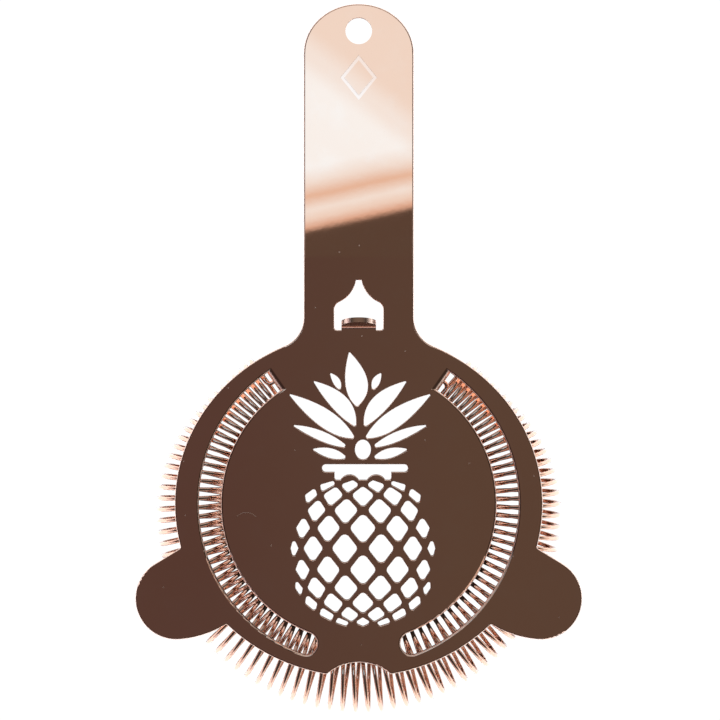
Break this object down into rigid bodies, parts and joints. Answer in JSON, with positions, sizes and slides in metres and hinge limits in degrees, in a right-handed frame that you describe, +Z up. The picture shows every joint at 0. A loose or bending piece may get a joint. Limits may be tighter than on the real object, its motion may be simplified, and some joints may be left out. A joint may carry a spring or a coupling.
{
  "type": "hawthorne cocktail strainer",
  "caption": "Flat stamped cocktail strainer with a pineapple of pierced openings, a long handle, side rests, curved pouring slots and a coil spring hooked under the disc.",
  "frame": {"origin": "centre of the strainer's box in X and Y, on the surface that the spring rests on", "axes": "+Z up through the disc, +Y from the disc along the handle to its tip, +X to the right seen from above"},
  "size_m": [0.1072, 0.1716, 0.0249],
  "materials": {
    "plated_plate": "mirror-polished copper plating on stainless sheet",
    "plated_wire": "bright copper plating on spring wire"
  },
  "bodies": {
    "plate": {"strainer_plate": "plated_plate"},
    "spring": {"coil_spring": "plated_wire"}
  },
  "joints": [
    {"name": "spring_compress", "type": "slide", "parent": "plate", "child": "spring", "axis": [0, 1, 0], "range_m": [0, 0.006], "stiffness_N_per_m": 600, "deforming": ["coil_spring"]}
  ]
}
